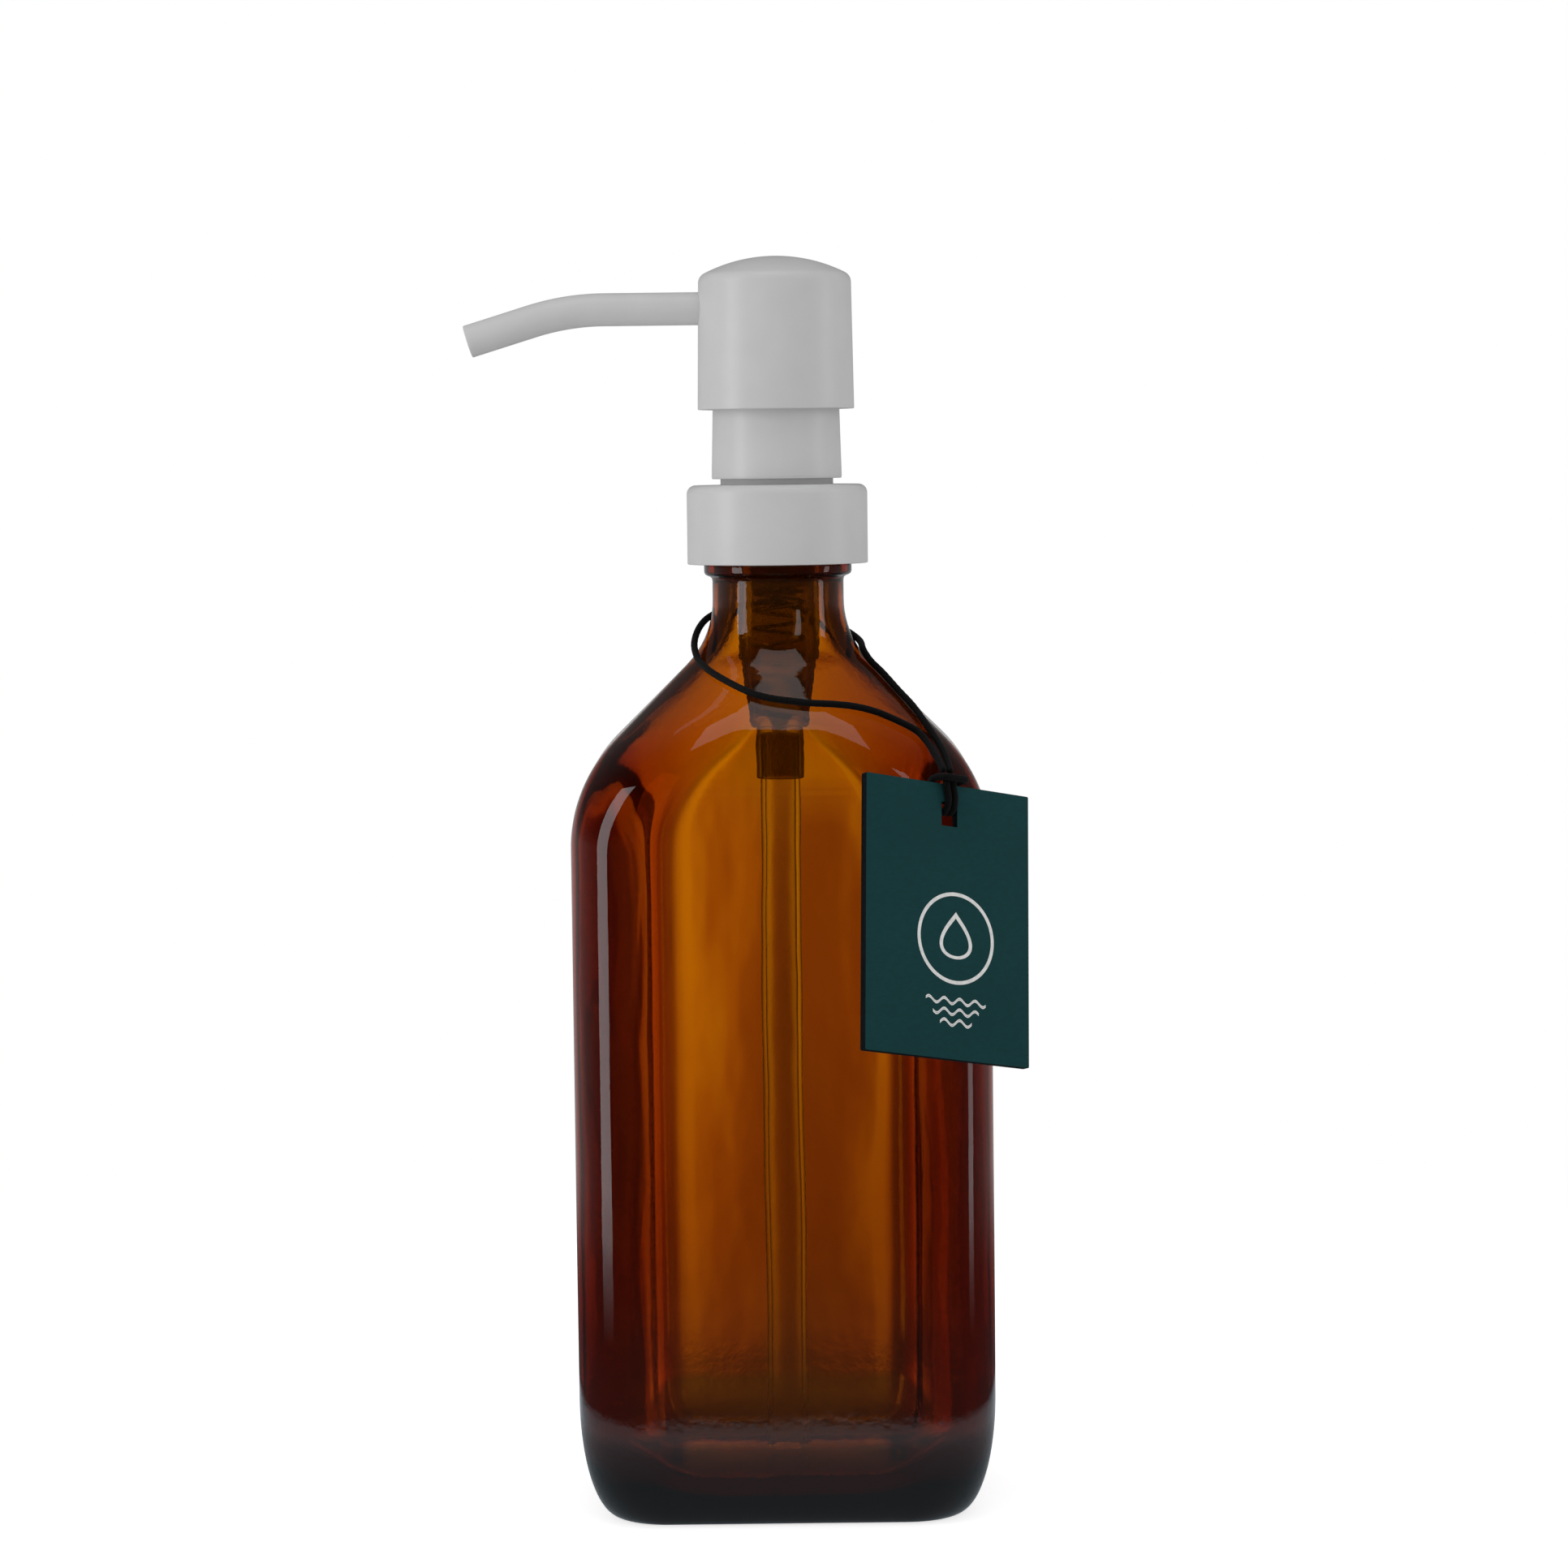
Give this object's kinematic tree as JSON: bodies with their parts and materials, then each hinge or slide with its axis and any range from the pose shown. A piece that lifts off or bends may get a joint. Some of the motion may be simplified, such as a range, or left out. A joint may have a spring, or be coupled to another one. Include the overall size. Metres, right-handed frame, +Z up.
{
  "type": "soap pump dispenser",
  "caption": "Rectangular amber glass bottle with a screw-on white metal lotion pump, a bent spout, a press head that turns and returns, and a card tag on a cord.",
  "frame": {"origin": "centre of the bottle's underside, on the pump's axis", "axes": "+Z up along the pump's axis, -Y out of the bottle's front face, -X along the spout"},
  "size_m": [0.1012, 0.0843, 0.2283],
  "materials": {
    "amber_glass": "glossy",
    "white_metal": "satin",
    "white_plastic": "matte",
    "clear_plastic": "translucent",
    "spring_steel": "drawn",
    "ball_steel": "polished",
    "tag_card": "matte",
    "cord": "waxed"
  },
  "bodies": {
    "bottle": {"glass_bottle": "amber_glass", "tag_cord": "cord", "cord_knot": "cord"},
    "pump": {"pump_housing": "clear_plastic", "dip_tube": "clear_plastic", "neck_gasket": "white_plastic", "chaplet": "white_plastic", "guide_sleeve": "white_metal", "ball_retainer": "white_plastic", "return_spring": "spring_steel"},
    "collar": {"collar_shell": "white_metal", "collar_insert": "white_plastic"},
    "piston": {"piston_seal": "white_plastic"},
    "head": {"head_shell": "white_metal", "head_core": "white_plastic", "spout_tube": "white_metal", "spout_liner": "white_plastic", "pump_stem": "white_plastic", "stem_tip": "white_plastic"},
    "lower_ball": {"inlet_ball": "ball_steel"},
    "upper_ball": {"discharge_ball": "ball_steel"},
    "tag": {"hang_tag": "tag_card", "tag_hitch": "cord"}
  },
  "joints": [
    {"name": "pump_lift", "type": "slide", "parent": "bottle", "child": "pump", "axis": [0, 0, 1], "range_m": [0, 0.0053]},
    {"name": "collar_turn", "type": "hinge", "parent": "pump", "child": "collar", "pos_m": [0, 0, 0.1796], "axis": [0, 0, 1], "range_deg": [0, 460]},
    {"name": "pump_press", "type": "slide", "parent": "pump", "child": "piston", "axis": [0, 0, -1], "range_m": [0, 0.011], "stiffness_N_per_m": 400, "springref_m": -0.01, "deforming": ["return_spring"]},
    {"name": "head_swivel", "type": "hinge", "parent": "piston", "child": "head", "pos_m": [0, 0, 0.2], "axis": [0, 0, 1], "continuous": true},
    {"name": "inlet_ball_lift", "type": "slide", "parent": "pump", "child": "lower_ball", "axis": [0, 0, 1], "range_m": [0, 0.0015]},
    {"name": "discharge_ball_lift", "type": "slide", "parent": "head", "child": "upper_ball", "axis": [0, 0, 1], "range_m": [0, 0.0012]},
    {"name": "tag_swing", "type": "hinge", "parent": "bottle", "child": "tag", "pos_m": [0.0298, -0.0311, 0.1357], "axis": [-0.8241, -0.5664, 0], "range_deg": [0, 55]}
  ],
  "couplings": [
    {"joint": "collar_turn", "follows": "pump_lift", "rad_per_m": 1484.3}
  ]
}
